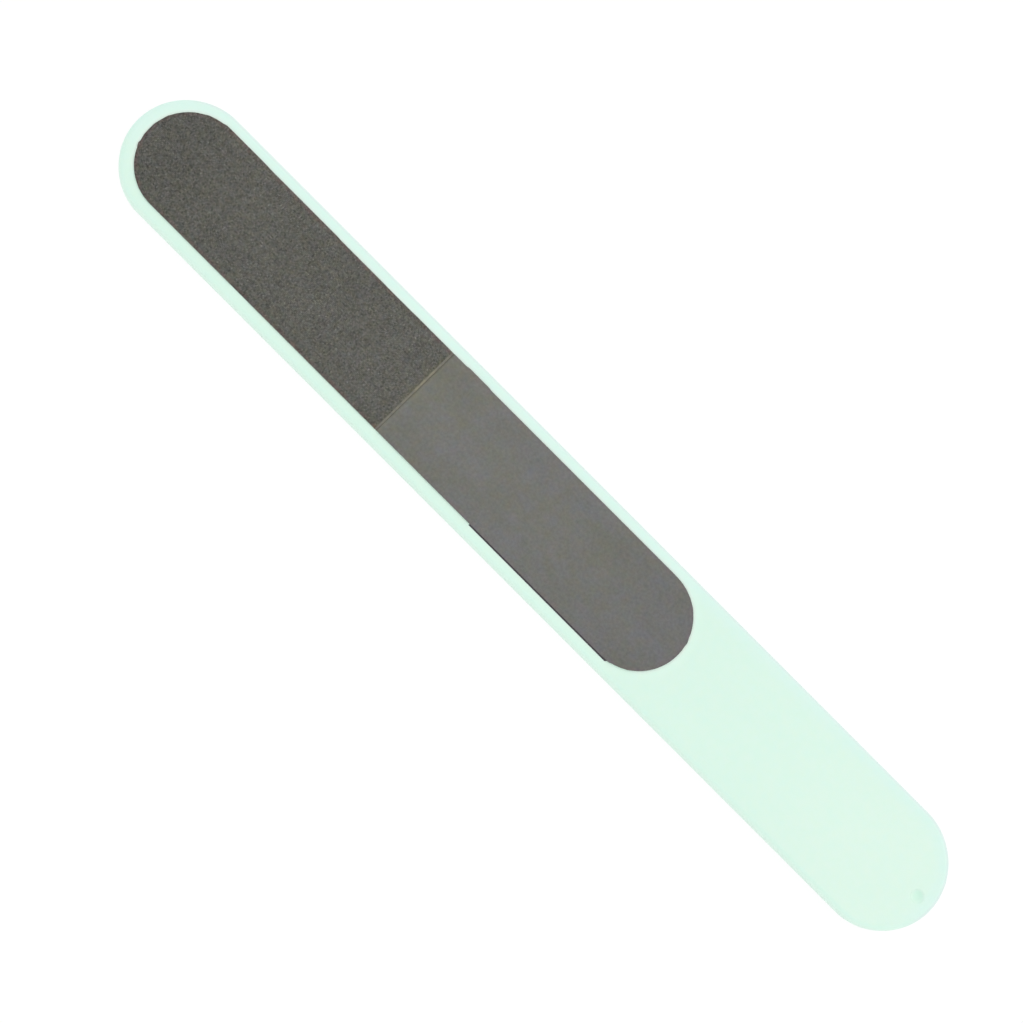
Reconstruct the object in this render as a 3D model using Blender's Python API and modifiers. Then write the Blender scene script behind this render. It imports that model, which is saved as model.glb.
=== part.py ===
"""A nail file: one moulded plastic paddle with abrasive sheets bonded to both of its faces.

Each face carries two die-cut sheets, a coarse one towards the head and a fine one towards
the handle, which meet at a seam square to the file. A sheet is a film of adhesive, a paper
backing and a coat of grit, laid one on another.

Metres. +X points to the head and +Z out of the front face. The origin lies under the middle
of the paddle, on the plane that the back's grit rests on.
"""

import math
from dataclasses import dataclass

import bmesh
import bpy

# The paddle: a flat plate with semicircular ends and rounded rims
PADDLE_LENGTH = 0.1800
PADDLE_WIDTH = 0.0219
PADDLE_THICKNESS = 0.0036
PADDLE_EDGE_RADIUS = 0.00085
MOST_EDGE_SHARE = 0.45  # of the thickness that a rim's rounding may take

# The gate mark: a shallow round bowl that the moulding leaves near the handle's tip
GATE_DIAMETER = 0.0021
GATE_DEPTH = 0.00032
GATE_INSET = 0.00305  # from the handle's tip to the bowl's middle

# The sheets, seen from the front
HEAD_RIM = 0.0025  # bare plastic between the head's tip and the coarse sheet
SIDE_RIM = 0.00205  # bare plastic along each side of the sheets
COARSE_SHEET_LENGTH = 0.05995
FINE_SHEET_LENGTH = 0.05957
SEAM_GAP = 0.00018  # between the two sheets
SEAM_LEDGE = 0.00024  # bare backing where the coarse grit stops short of the seam

# The sheets' layers, and the clearance that keeps each layer off the next. Both grades are
# made up to one thickness, so that their faces finish level: the fine coat is the thinner
# one and lies on the thicker paper.
ADHESIVE_THICKNESS = 0.00004
SHEET_THICKNESS = 0.00019  # paper and grit together
COARSE_COAT_THICKNESS = 0.00011
FINE_COAT_THICKNESS = 0.00008
BOND_CLEARANCE = 0.00001

# The sliver of adhesive that shows beside the front's fine sheet, on the +Y side
SLIVER_WIDTH = 0.00025
SLIVER_START = 0.0211  # from the fine sheet's seam edge
SLIVER_OVERRUN = 0.0015  # how far it runs on past where the sheet's round end begins
SLIVER_TAPER = 0.0003  # how long it takes to narrow to nothing there

# How finely the curved surfaces are faceted
END_STEPS = 40  # along each semicircular end
EDGE_SEGMENTS = 5  # across the paddle's rounded rim
BOWL_SEGMENTS = 48
BOWL_RINGS = 36

# Edges sharper than the first get a fillet or stay sharp. Triangles of a flat face that meet
# flatter than the second become one face.
SHARP_ANGLE_LIMIT = math.radians(30)
FLAT_ANGLE_LIMIT = math.radians(0.5)
WELD_DISTANCE = 1e-6

FRONT = 1
BACK = -1


@dataclass(frozen=True)
class Layer:
    """One layer of a sheet: what it is called, its outline in plan, and its thickness."""

    name: str
    outline: list
    thickness: float
    material: bpy.types.Material


def clear_scene():
    """Removes every object that the file opened with."""
    for leftover in list(bpy.data.objects):
        bpy.data.objects.remove(leftover, do_unlink=True)


def new_collection(name):
    """Adds a collection to the scene."""
    collection = bpy.data.collections.new(name)
    bpy.context.scene.collection.children.link(collection)
    return collection


def new_material(name, colour, roughness):
    """Makes a plain, non-metallic Principled material."""
    material = bpy.data.materials.new(name)
    material.use_nodes = True
    shader = material.node_tree.nodes["Principled BSDF"]
    shader.inputs["Base Color"].default_value = (*colour, 1.0)
    shader.inputs["Roughness"].default_value = roughness
    shader.inputs["Metallic"].default_value = 0.0
    return material


def arc(centre_x, radius, first_degree, last_degree):
    """Points along an arc whose centre lies on the file's long axis."""
    first, last = math.radians(first_degree), math.radians(last_degree)
    angles = [first + (last - first) * step / END_STEPS for step in range(END_STEPS + 1)]
    return [(centre_x + radius * math.cos(a), radius * math.sin(a)) for a in angles]


def paddle_outline():
    """A stadium: two semicircular ends joined by straight sides."""
    radius = PADDLE_WIDTH / 2
    centre = PADDLE_LENGTH / 2 - radius
    return arc(centre, radius, -90, 90) + arc(-centre, radius, 90, 270)


def coarse_outline(seam_x):
    """The coarse sheet's plan: square at the seam, round towards the head."""
    radius = PADDLE_WIDTH / 2 - SIDE_RIM
    tip_x = PADDLE_LENGTH / 2 - HEAD_RIM
    return arc(tip_x - radius, radius, -90, 90) + [(seam_x, radius), (seam_x, -radius)]


def fine_outline(seam_x, overlap=0.0, sliver=0.0):
    """The fine sheet's plan: square at the seam, round towards the handle.

    An overlap carries the seam edge on towards the head by that much. A sliver above zero
    widens the +Y side by that much, from SLIVER_START past the seam to SLIVER_OVERRUN past
    where the round end begins, and narrows over the last SLIVER_TAPER of it.
    """
    radius = PADDLE_WIDTH / 2 - SIDE_RIM
    centre_x = seam_x - FINE_SHEET_LENGTH + radius
    overrun = SLIVER_OVERRUN if sliver > 0 else 0.0
    first_degree = 90 + math.degrees(math.asin(overrun / radius))
    edge_x = seam_x + overlap
    outline = arc(centre_x, radius, first_degree, 270) + [(edge_x, -radius), (edge_x, radius)]
    if sliver > 0:
        start_x = seam_x - SLIVER_START
        end_x = centre_x - overrun
        outline += [(start_x, radius), (start_x, radius + sliver)]
        outline.append((end_x + SLIVER_TAPER, radius + sliver))
    return outline


def add_plate(name, outline, middle_z, thickness, material, collection):
    """Extrudes a flat outline into a plate about a height, as one welded mesh."""
    curve = bpy.data.curves.new(name, "CURVE")
    curve.dimensions = "2D"
    curve.fill_mode = "BOTH"
    curve.extrude = thickness / 2
    spline = curve.splines.new("POLY")
    spline.points.add(len(outline) - 1)
    for point, (x, y) in zip(spline.points, outline):
        point.co = (x, y, 0.0, 1.0)
    spline.use_cyclic_u = True

    drawn = bpy.data.objects.new(f"{name}_outline", curve)
    collection.objects.link(drawn)
    drawn.location.z = middle_z
    bpy.context.view_layer.update()
    evaluated = drawn.evaluated_get(bpy.context.evaluated_depsgraph_get())
    mesh = bpy.data.meshes.new_from_object(evaluated)
    plate = bpy.data.objects.new(name, mesh)
    plate.matrix_world = drawn.matrix_world.copy()
    collection.objects.link(plate)
    bpy.data.objects.remove(drawn, do_unlink=True)
    bpy.data.curves.remove(curve)

    shape = bmesh.new()
    shape.from_mesh(mesh)
    bmesh.ops.remove_doubles(shape, verts=shape.verts, dist=WELD_DISTANCE)
    bmesh.ops.dissolve_limit(
        shape, angle_limit=FLAT_ANGLE_LIMIT, verts=shape.verts, edges=shape.edges
    )
    bmesh.ops.recalc_face_normals(shape, faces=shape.faces)
    shape.to_mesh(mesh)
    shape.free()
    mesh.name = name
    mesh.materials.clear()
    mesh.materials.append(material)
    mesh.shade_smooth()
    mesh.set_sharp_from_angle(angle=SHARP_ANGLE_LIMIT)
    return plate


def add_gate_cutter(face_z, collection):
    """A ball that cuts the gate mark's bowl, at its diameter and depth, into the face."""
    mouth = GATE_DIAMETER / 2
    radius = (mouth**2 + GATE_DEPTH**2) / (2 * GATE_DEPTH)
    mesh = bpy.data.meshes.new("gate_cutter")
    shape = bmesh.new()
    bmesh.ops.create_uvsphere(
        shape, u_segments=BOWL_SEGMENTS, v_segments=BOWL_RINGS, radius=radius
    )
    shape.to_mesh(mesh)
    shape.free()
    cutter = bpy.data.objects.new("gate_cutter", mesh)
    cutter.location = (GATE_INSET - PADDLE_LENGTH / 2, 0.0, face_z + radius - GATE_DEPTH)
    cutter.hide_render = True
    cutter.display_type = "WIRE"
    collection.objects.link(cutter)
    return cutter


def add_paddle(middle_z, material, collection, cutters):
    """The moulded plate: rounded all round its rims, with the gate mark in its front face."""
    paddle = add_plate(
        "paddle", paddle_outline(), middle_z, PADDLE_THICKNESS, material, collection
    )
    rounding = paddle.modifiers.new("rounded_rim", "BEVEL")
    rounding.limit_method = "ANGLE"
    rounding.angle_limit = SHARP_ANGLE_LIMIT
    rounding.width = min(PADDLE_EDGE_RADIUS, MOST_EDGE_SHARE * PADDLE_THICKNESS)
    rounding.segments = EDGE_SEGMENTS
    cut = paddle.modifiers.new("gate_mark", "BOOLEAN")
    cut.operation = "DIFFERENCE"
    cut.solver = "EXACT"
    cut.object = add_gate_cutter(middle_z + PADDLE_THICKNESS / 2, cutters)
    return paddle


def paper_under(coat_thickness):
    """The thickness of the paper that a coat of grit leaves in its sheet."""
    return SHEET_THICKNESS - BOND_CLEARANCE - coat_thickness


def add_sheet(name, side, middle_z, layers, collection):
    """Lays a sheet's layers one on another, outwards from one face of the paddle."""
    reach = PADDLE_THICKNESS / 2
    for layer in layers:
        start = reach + BOND_CLEARANCE
        reach = start + layer.thickness
        add_plate(
            f"{name}_{layer.name}",
            layer.outline,
            middle_z + side * (start + reach) / 2,
            layer.thickness,
            layer.material,
            collection,
        )


def build_nail_file():
    """Builds the paddle, then a coarse and a fine sheet on each of its faces."""
    clear_scene()
    collection = new_collection("nail_file")
    cutters = new_collection("cutters")
    plastic = new_material("mint_plastic", (0.730, 0.940, 0.820), 0.38)
    adhesive = new_material("dark_adhesive", (0.060, 0.058, 0.062), 0.55)
    paper = new_material("tan_backing_paper", (0.440, 0.400, 0.270), 0.85)
    coarse_grit = new_material("coarse_grit", (0.120, 0.119, 0.104), 0.90)
    fine_grit = new_material("fine_grit", (0.175, 0.175, 0.163), 0.85)

    proud = 2 * BOND_CLEARANCE + ADHESIVE_THICKNESS + SHEET_THICKNESS
    middle_z = proud + PADDLE_THICKNESS / 2
    coarse_seam_x = PADDLE_LENGTH / 2 - HEAD_RIM - COARSE_SHEET_LENGTH
    fine_seam_x = coarse_seam_x - SEAM_GAP
    coarse_plan = coarse_outline(coarse_seam_x)
    coarse_coat_plan = coarse_outline(coarse_seam_x + SEAM_LEDGE)
    fine_plan = fine_outline(fine_seam_x)
    bridged_gap = SEAM_GAP - BOND_CLEARANCE  # the fine sheet's adhesive shows in the gap

    add_paddle(middle_z, plastic, collection, cutters)
    for side_name, side in (("front", FRONT), ("back", BACK)):
        sliver = SLIVER_WIDTH if side == FRONT else 0.0
        film_plan = fine_outline(fine_seam_x, bridged_gap, sliver)
        coarse_layers = [
            Layer("adhesive", coarse_plan, ADHESIVE_THICKNESS, adhesive),
            Layer("backing", coarse_plan, paper_under(COARSE_COAT_THICKNESS), paper),
            Layer("grit", coarse_coat_plan, COARSE_COAT_THICKNESS, coarse_grit),
        ]
        fine_layers = [
            Layer("adhesive", film_plan, ADHESIVE_THICKNESS, adhesive),
            Layer("backing", fine_plan, paper_under(FINE_COAT_THICKNESS), paper),
            Layer("grit", fine_plan, FINE_COAT_THICKNESS, fine_grit),
        ]
        add_sheet(f"{side_name}_coarse", side, middle_z, coarse_layers, collection)
        add_sheet(f"{side_name}_fine", side, middle_z, fine_layers, collection)


build_nail_file()
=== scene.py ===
"""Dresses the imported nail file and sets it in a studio.

The paddle, each abrasive sheet and the studio have a class of their own, and so has each
finish. All sizes are in metres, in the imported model's frame: +X points to the head, +Z out of
the front face, and the file rests on the plane z = 0.
"""

import logging
import math
import random
from collections.abc import Callable, Iterator
from contextlib import contextmanager
from dataclasses import dataclass, replace
from enum import Enum

import bmesh
import bpy
from mathutils import Matrix, Vector


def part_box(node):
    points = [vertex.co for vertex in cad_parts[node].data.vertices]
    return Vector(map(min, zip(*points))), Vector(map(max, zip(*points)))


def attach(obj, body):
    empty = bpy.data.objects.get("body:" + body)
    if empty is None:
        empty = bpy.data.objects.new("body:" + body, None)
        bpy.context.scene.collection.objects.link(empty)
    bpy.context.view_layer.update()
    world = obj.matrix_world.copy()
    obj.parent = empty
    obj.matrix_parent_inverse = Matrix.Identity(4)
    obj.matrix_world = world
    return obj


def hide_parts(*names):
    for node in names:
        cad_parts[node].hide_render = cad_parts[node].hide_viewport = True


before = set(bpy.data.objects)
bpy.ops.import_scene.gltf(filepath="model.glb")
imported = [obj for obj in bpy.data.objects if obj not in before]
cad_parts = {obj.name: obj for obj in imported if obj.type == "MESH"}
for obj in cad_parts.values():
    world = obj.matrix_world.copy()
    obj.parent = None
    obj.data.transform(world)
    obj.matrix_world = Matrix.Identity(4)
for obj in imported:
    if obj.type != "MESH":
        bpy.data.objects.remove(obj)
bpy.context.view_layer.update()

log = logging.getLogger("nail_file")

Colour = tuple[float, float, float]
Triple = tuple[float, float, float]  # a place, a move or a stretch along X, Y and Z
Band = tuple[float, float]  # from where to where something changes
Piece = bpy.types.Object
Material = bpy.types.Material
Socket = bpy.types.NodeSocket
Settings = dict[str, object]
Sockets = dict[str | int, object]

BODY = "root"
BAKE_MAP = "OFBake"  # the name of a coat's bake map
GRAIN_TONE = "grain_tone"  # the attribute that gives every grain its own shade

MM = 0.001
TINY = 0.00001  # metres, for picking what lies on a line or plane
HAIR = TINY / 10  # for merging doubles and for slicing


class Side(Enum):
    """A face of the file."""

    FRONT = "front"
    BACK = "back"


class Grade(Enum):
    """A grade of abrasive."""

    COARSE = "coarse"
    FINE = "fine"


class Part(Enum):
    """What an edit picks, by Blender's names."""

    POINT = "VERT"
    EDGE = "EDGE"
    FACE = "FACE"


# Shop moves


def alone(piece: Piece) -> None:
    """Selects one piece and nothing else, and makes it the active one."""
    bpy.ops.object.select_all(action="DESELECT")
    piece.select_set(True)
    bpy.context.view_layer.objects.active = piece


@contextmanager
def editing(piece: Piece) -> Iterator[None]:
    """Opens a piece in edit mode with nothing picked, and closes it again.

    Args:
        piece: The piece to edit.
    """
    alone(piece)
    bpy.ops.object.mode_set(mode="EDIT")
    bpy.ops.mesh.select_all(action="DESELECT")
    yield
    bpy.ops.object.mode_set(mode="OBJECT")


def pick_all() -> None:
    """Picks all of the edited piece."""
    bpy.ops.mesh.select_all(action="SELECT")


def pick(piece: Piece, part: Part, test: Callable) -> None:
    """Picks the points, edges or faces of an edited piece that pass a test.

    Args:
        piece: The piece, in edit mode.
        part: What to pick.
        test: Says whether a point, edge or face is wanted.
    """
    bpy.ops.mesh.select_mode(type=part.value)
    bpy.ops.mesh.select_all(action="DESELECT")
    shape = bmesh.from_edit_mesh(piece.data)
    lists = {Part.POINT: shape.verts, Part.EDGE: shape.edges, Part.FACE: shape.faces}
    for item in lists[part]:
        if test(item):
            item.select_set(True)
    shape.select_flush_mode()
    bmesh.update_edit_mesh(piece.data)


def extrude(move: Triple) -> None:
    """Extrudes what is picked."""
    bpy.ops.mesh.extrude_region_move(TRANSFORM_OT_translate={"value": move})


def flatten(height: float) -> None:
    """Presses what is picked flat at a height."""
    bpy.ops.transform.resize(value=(1.0, 1.0, 0.0), center_override=(0.0, 0.0, height))


def slice_through(place: Triple, normal: Triple, clear: bool = False) -> None:
    """Slices all of the edited piece, and may clear away what lies behind the plane."""
    pick_all()
    bpy.ops.mesh.bisect(plane_co=place, plane_no=normal, clear_inner=clear, threshold=HAIR)


def draw_out(move: Triple, fade: float, connected: bool = False) -> None:
    """Moves what is picked, and with a fade what lies near it, or only what is joined to it."""
    bpy.ops.transform.translate(
        value=move,
        use_proportional_edit=True,
        proportional_size=fade,
        proportional_edit_falloff="SMOOTH",
        use_proportional_connected=connected,
    )


def settle(piece: Piece) -> None:
    """Moves a piece's place, turn and scale into its mesh."""
    alone(piece)
    bpy.ops.object.transform_apply(location=True, rotation=True, scale=True)


def shape_by(piece: Piece, kind: str, name: str, **settings: object) -> None:
    """Shapes a piece by a modifier, or only its vertex group where it has one.

    Args:
        piece: The piece. It loses its vertex group.
        kind: The modifier's type.
        name: The modifier's name.
        settings: Its settings.
    """
    modifier = piece.modifiers.new(name, kind)
    for setting, given in settings.items():
        setattr(modifier, setting, given)
    if piece.vertex_groups:
        modifier.vertex_group = piece.vertex_groups[0].name
    alone(piece)
    bpy.ops.object.modifier_apply(modifier=name)
    piece.vertex_groups.clear()


def face_outwards(piece: Piece) -> None:
    """Merges a piece's doubles and turns its faces outwards."""
    with editing(piece):
        pick_all()
        bpy.ops.mesh.remove_doubles(threshold=HAIR)
        bpy.ops.mesh.normals_make_consistent(inside=False)


def scrap(piece: Piece) -> None:
    """Throws a shop aid and its mesh away."""
    mesh = piece.data
    bpy.data.objects.remove(piece, do_unlink=True)
    bpy.data.meshes.remove(mesh)


def draw_strip(
    name: str, end_points: int, radius: float, centre: Triple, heading: float, square_x: float
) -> Piece:
    """Draws a flat strip with a round and a square end, in two faces that meet at the centre.

    Args:
        name: The piece's name.
        end_points: How many points the round end has.
        radius: The round end's radius.
        centre: Its centre.
        heading: 1 where it points to the head, and -1 to the handle.
        square_x: Where the square end lies.

    Returns:
        The strip.
    """
    bpy.ops.mesh.primitive_circle_add(
        vertices=2 * end_points, radius=radius, fill_type="NGON", location=centre
    )
    piece = bpy.context.object
    piece.name = name
    settle(piece)
    x = centre[0]
    with editing(piece):
        slice_through((x, 0.0, 0.0), (heading, 0.0, 0.0), clear=True)
        pick(piece, Part.EDGE, lambda edge: all(abs(end.co.x - x) < TINY for end in edge.verts))
        extrude((square_x - x, 0.0, 0.0))
    return piece


def join_faces(piece: Piece) -> None:
    """Joins an edited flat piece's faces in one."""
    pick(piece, Part.EDGE, lambda edge: len(edge.link_faces) == 2)
    bpy.ops.mesh.dissolve_edges(use_verts=False)


def stand_in(piece: Piece, node: str) -> None:
    """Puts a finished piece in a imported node's stead.

    Args:
        piece: The finished piece.
        node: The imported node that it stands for.
    """
    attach(piece, BODY)
    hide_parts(node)


# Finishes


def operators(operation: str) -> tuple[Callable, Callable]:
    """Writes the methods that work a Value with another term.

    Args:
        operation: The Math node's operation.

    Returns:
        The method that works self with other, and its reflected form.
    """

    def plain(value: "Value", other: object) -> "Value":
        """Works self with other."""
        return value.math(operation, value, other)

    def reflected(value: "Value", other: object) -> "Value":
        """Works other with self."""
        return value.math(operation, other, value)

    return plain, reflected


@dataclass(frozen=True)
class Value:
    """A number that varies over a surface. Sums written on it add Math nodes."""

    bench: "NodeBench"
    socket: Socket

    def math(self, operation: str, *terms: object) -> "Value":
        """Adds a Math node that works these terms, in order."""
        settings = {"operation": operation}
        return self.bench.value("ShaderNodeMath", settings, dict(enumerate(terms)))

    __add__, __radd__ = operators("ADD")
    __sub__, __rsub__ = operators("SUBTRACT")
    __mul__, __rmul__ = operators("MULTIPLY")
    __truediv__, __rtruediv__ = operators("DIVIDE")
    __pow__, __rpow__ = operators("POWER")
    least = operators("MINIMUM")[0]
    most = operators("MAXIMUM")[0]

    def size(self) -> "Value":
        """Self without its sign."""
        return self.math("ABSOLUTE", self)

    def rises(self, low: float, high: float) -> "Value":
        """0 up to low and 1 from high, eased at both ends."""
        settings = {"interpolation_type": "SMOOTHSTEP"}
        sockets = {"Value": self, "From Min": low, "From Max": high}
        return self.bench.value("ShaderNodeMapRange", settings, sockets)

    def fades(self, low: float, high: float) -> "Value":
        """1 up to low and 0 from high, eased at both ends."""
        return 1 - self.rises(low, high)


class NodeBench:
    """Lays nodes in one tree."""

    def __init__(self, tree: bpy.types.NodeTree) -> None:
        """Starts work on a tree."""
        self.tree = tree

    def node(
        self, kind: str, settings: Settings | None = None, sockets: Sockets | None = None
    ) -> bpy.types.Node:
        """Adds a node.

        Args:
            kind: The node's type.
            settings: Its settings, set first.
            sockets: Its inputs by name or number, each a plain value, a Value or an output.

        Returns:
            The node.
        """
        node = self.tree.nodes.new(kind)
        for name, setting in (settings or {}).items():
            setattr(node, name, setting)
        for name, given in (sockets or {}).items():
            self.feed(node.inputs[name], given)
        return node

    def feed(self, socket: Socket, given: object) -> None:
        """Sets a socket, or links it.

        Args:
            socket: The input.
            given: A plain value, a Value or a node's output.
        """
        source = given.socket if isinstance(given, Value) else given
        if isinstance(source, Socket):
            self.tree.links.new(source, socket)
        elif socket.type == "RGBA" and len(source) == 3:
            socket.default_value = (*source, 1.0)
        else:
            socket.default_value = source

    def value(
        self,
        kind: str,
        settings: Settings | None = None,
        sockets: Sockets | None = None,
        output: str | int = 0,
    ) -> Value:
        """Adds a node and gives the wanted one of its outputs as a Value."""
        return Value(self, self.node(kind, settings, sockets).outputs[output])

    def seen(self) -> Value:
        """1 for a ray that shows the thing itself or its reflection, 0 for one that lights."""
        rays = self.node("ShaderNodeLightPath").outputs
        shown = Value(self, rays["Is Camera Ray"])
        for kind in ("Is Glossy Ray", "Is Transmission Ray"):
            shown = shown.most(Value(self, rays[kind]))
        return shown


class FinishBench(NodeBench):
    """Lays the nodes of one material."""

    def __init__(self, name: str) -> None:
        """Starts a material of this name with a bare Principled shader."""
        self.material = bpy.data.materials.new(name)
        self.material.use_nodes = True
        super().__init__(self.material.node_tree)
        self.shader = self.tree.nodes["Principled BSDF"]

    def place(self, stretch: Triple = (1.0, 1.0, 1.0)) -> Socket:
        """The place on the piece, in metres times stretch along each axis."""
        place = self.node("ShaderNodeTexCoord").outputs["Object"]
        return self.node("ShaderNodeMapping", None, {"Vector": place, "Scale": stretch}).outputs[0]

    def axes(self) -> list[Value]:
        """How far along X, Y and Z a place on the piece lies."""
        split = self.node("ShaderNodeSeparateXYZ", None, {0: self.place()})
        return [Value(self, output) for output in split.outputs]

    def noise(self, grain: float, detail: float = 2.0, stretch: Triple = (1.0, 1.0, 1.0)) -> Value:
        """A cloudy value about one half, by its patches' size, finer layers and stretch."""
        sockets = {"Vector": self.place(stretch), "Scale": 1.0 / grain, "Detail": detail}
        return self.value("ShaderNodeTexNoise", None, {**sockets, "Roughness": 0.55})

    def blend(self, share: object, first: object, second: object) -> Socket:
        """Mixes two colours or colour outputs, by the share that the second has."""
        settings = {"data_type": "RGBA", "blend_type": "MIX"}
        return self.node("ShaderNodeMix", settings, {0: share, 6: first, 7: second}).outputs[2]

    def tint(self, colour: object, factor: Value) -> Socket:
        """Multiplies a colour or colour output by a value."""
        sockets = {0: colour, "Scale": factor}
        return self.node("ShaderNodeVectorMath", {"operation": "SCALE"}, sockets).outputs[0]

    def tinge(self, colour: object, red: Value, blue: Value) -> Socket:
        """Gives the red and the blue of a colour or colour output a share of themselves more."""
        factors = self.node("ShaderNodeCombineXYZ", None, {0: 1 + red, 1: 1.0, 2: 1 + blue})
        sockets = {0: colour, 1: factors.outputs[0]}
        return self.node("ShaderNodeVectorMath", {"operation": "MULTIPLY"}, sockets).outputs[0]

    def relief(self, height: Value, depth: float) -> None:
        """Presses a height from 0 to 1 into the surface, as a bump of a depth in metres."""
        bump = self.node("ShaderNodeBump", None, {"Height": height, "Distance": depth})
        self.feed(self.shader.inputs["Normal"], bump.outputs[0])

    def dress(self, colour: object, roughness: object, **plain: float) -> Material:
        """Feeds the shader and hands the material over.

        Args:
            colour: The base colour, or its output.
            roughness: The roughness, or a Value.
            plain: Other sockets that are the same all over, by their names.

        Returns:
            The finished material.
        """
        self.feed(self.shader.inputs["Base Color"], colour)
        self.feed(self.shader.inputs["Roughness"], roughness)
        for name, number in plain.items():
            self.shader.inputs[name.replace("_", " ")].default_value = number
        return self.material


@dataclass(frozen=True)
class MintPlastic:
    """Satin moulded plastic, with painted light and shade on its rims, in the gate and by the
    sheets.

    The rims' bands are measured inwards from the paddle's outline.
    """

    paddle: "Paddle"
    colour: Colour = (0.712, 0.935, 0.812)
    pale_colour: Colour = (0.729, 0.938, 0.816)  # at the handle's tip
    cool_light_colour: Colour = (0.712, 0.935, 0.846)  # painted cool light along the -Y side, which faces the light
    lit_edge_sheen_colour: Colour = (0.706, 0.846, 0.806)  # painted shade and white sheen on the thin rim that faces the light
    shade_side_colour: Colour = (0.704, 0.945, 0.829)  # painted shade: a deeper tint where the rim turns to the +Y side, away from the light
    gate_shade_colour: Colour = (0.666, 0.932, 0.786)  # painted shade in the bowl, strongest where it lies deepest
    pale_band: Band = (50 * MM, 76 * MM)  # from the file's middle to the handle
    cool_light_rim: Band = (0.9 * MM, 3.2 * MM)
    sheen_rim: Band = (0.28 * MM, 0.72 * MM)
    sheen_depth: Band = (0.20 * MM, 0.60 * MM)  # under the front face
    shade_side_rim: Band = (0.5 * MM, 1.1 * MM)
    thin_rim: Band = (0.2 * MM, 0.45 * MM)
    thin_red: float = 0.035  # how much redder the thin rim is on the +Y side
    lean_band: Band = (-2 * MM, 7 * MM)  # past the straight, where the ends come to lean
    light_x: float = -0.64  # the way that the light falls on the rim, seen from above, for its painted sheen
    light_y: float = -0.77
    painted_glow: float = 0.036  # how much a painted glow brightens it beside the sheets
    near_band: Band = (0.3 * MM, 2.2 * MM)  # from the sheets' edge
    touching_band: Band = (0.2 * MM, 0.7 * MM)
    sheets_x: float = 27.65 * MM  # the middle of the two sheets together
    sheets_straight: float = 50.95 * MM  # and from there to where their ends begin to turn
    sheets_half_width: float = 8.90 * MM
    plain_side: Band = (6 * MM, 8 * MM)  # the +Y side, which gets the painted glow only beside the sliver
    sliver_x: float = -9.3 * MM  # the middle of the adhesive's sliver
    sliver_end: Band = (15.2 * MM, 15.8 * MM)
    gate_reach: float = 1.25 * MM
    gate_depth: Band = (0.02 * MM, 0.30 * MM)
    roughness: float = 0.40

    def make(self) -> Material:
        """Lays the material's nodes and returns it."""
        bench = FinishBench("mint_plastic")
        paddle = self.paddle
        along, across, up = bench.axes()
        depth = paddle.high_z - up
        beyond = along.size() - paddle.straight
        past = beyond.most(0.0)
        swung = across - paddle.end_lean * beyond.rises(*self.lean_band)
        out = (past * past + swung * swung) ** 0.5
        inside = paddle.half_width - out
        # 1 on the -Y side, which faces the light; it steers the painted light and shade on the rims
        facing = (-1 * swung / out).rises(-0.85, 0.0)
        lit = (self.light_y * swung + self.light_x * past * along.math("SIGN", along)) / out
        # painted shade and sheen on the thin rim that faces the light
        edge = lit.rises(0.0, 0.5) * inside.fades(*self.sheen_rim) * depth.fades(*self.sheen_depth)
        past_gate, beside_gate = along - paddle.gate.x, across - paddle.gate.y
        reach = (past_gate * past_gate + beside_gate * beside_gate) ** 0.5
        # painted shade in the gate mark's bowl, by its depth
        bowl = depth.rises(*self.gate_depth) * reach.fades(0.9 * self.gate_reach, self.gate_reach)
        flow = bench.noise(9 * MM, 2.0, (0.35, 1.0, 1.0))
        colour = bench.blend((-1 * along).rises(*self.pale_band), self.colour, self.pale_colour)
        # painted cool light on the rim that faces the light, on the -Y side
        colour = bench.blend(facing * inside.fades(*self.cool_light_rim), colour, self.cool_light_colour)
        colour = bench.blend(bowl, colour, self.gate_shade_colour)
        colour = bench.blend(edge, colour, self.lit_edge_sheen_colour)
        # painted shade on the rim that is turned away from the light
        painted_rim_shade = (1 - facing) * inside.fades(*self.shade_side_rim)
        colour = bench.blend(painted_rim_shade, colour, self.shade_side_colour)
        # a painted glow beside the sheets, brighter and redder where they touch
        past_sheets = ((along - self.sheets_x).size() - self.sheets_straight).most(0.0)
        beside = (past_sheets * past_sheets + across * across) ** 0.5 - self.sheets_half_width
        off_sliver = (along - self.sliver_x).size().rises(*self.sliver_end)
        plain = across.rises(*self.plain_side) * off_sliver
        near = beside.fades(*self.near_band) * (1 - 0.25 * plain)
        touching = beside.fades(*self.touching_band) * (1 - plain)
        colour = bench.tint(colour, 0.988 + 0.024 * flow + self.painted_glow * near)
        red = self.painted_glow * (0.25 * near + (1.75 + 0.6 * facing) * touching)
        red = red + self.thin_red * (1 - facing) * inside.fades(*self.thin_rim)
        colour = bench.tinge(colour, red, 0.75 * self.painted_glow * touching)
        red_cloud, blue_cloud = bench.noise(1.7 * MM) - 0.5, bench.noise(1.0 * MM, 1.0) - 0.5
        colour = bench.tinge(colour, 0.08 * red_cloud, 0.055 * blue_cloud)
        scuffs = bench.noise(0.16 * MM, 3.0, (0.05, 1.0, 1.0)).rises(0.62, 0.80)
        bench.relief(bench.noise(0.55 * MM) + 0.25 * (1 - scuffs), 0.0012 * MM)
        roughness = self.roughness + 0.10 * (flow - 0.5) - 0.06 * scuffs
        return bench.dress(colour, roughness, IOR=1.47)


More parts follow.
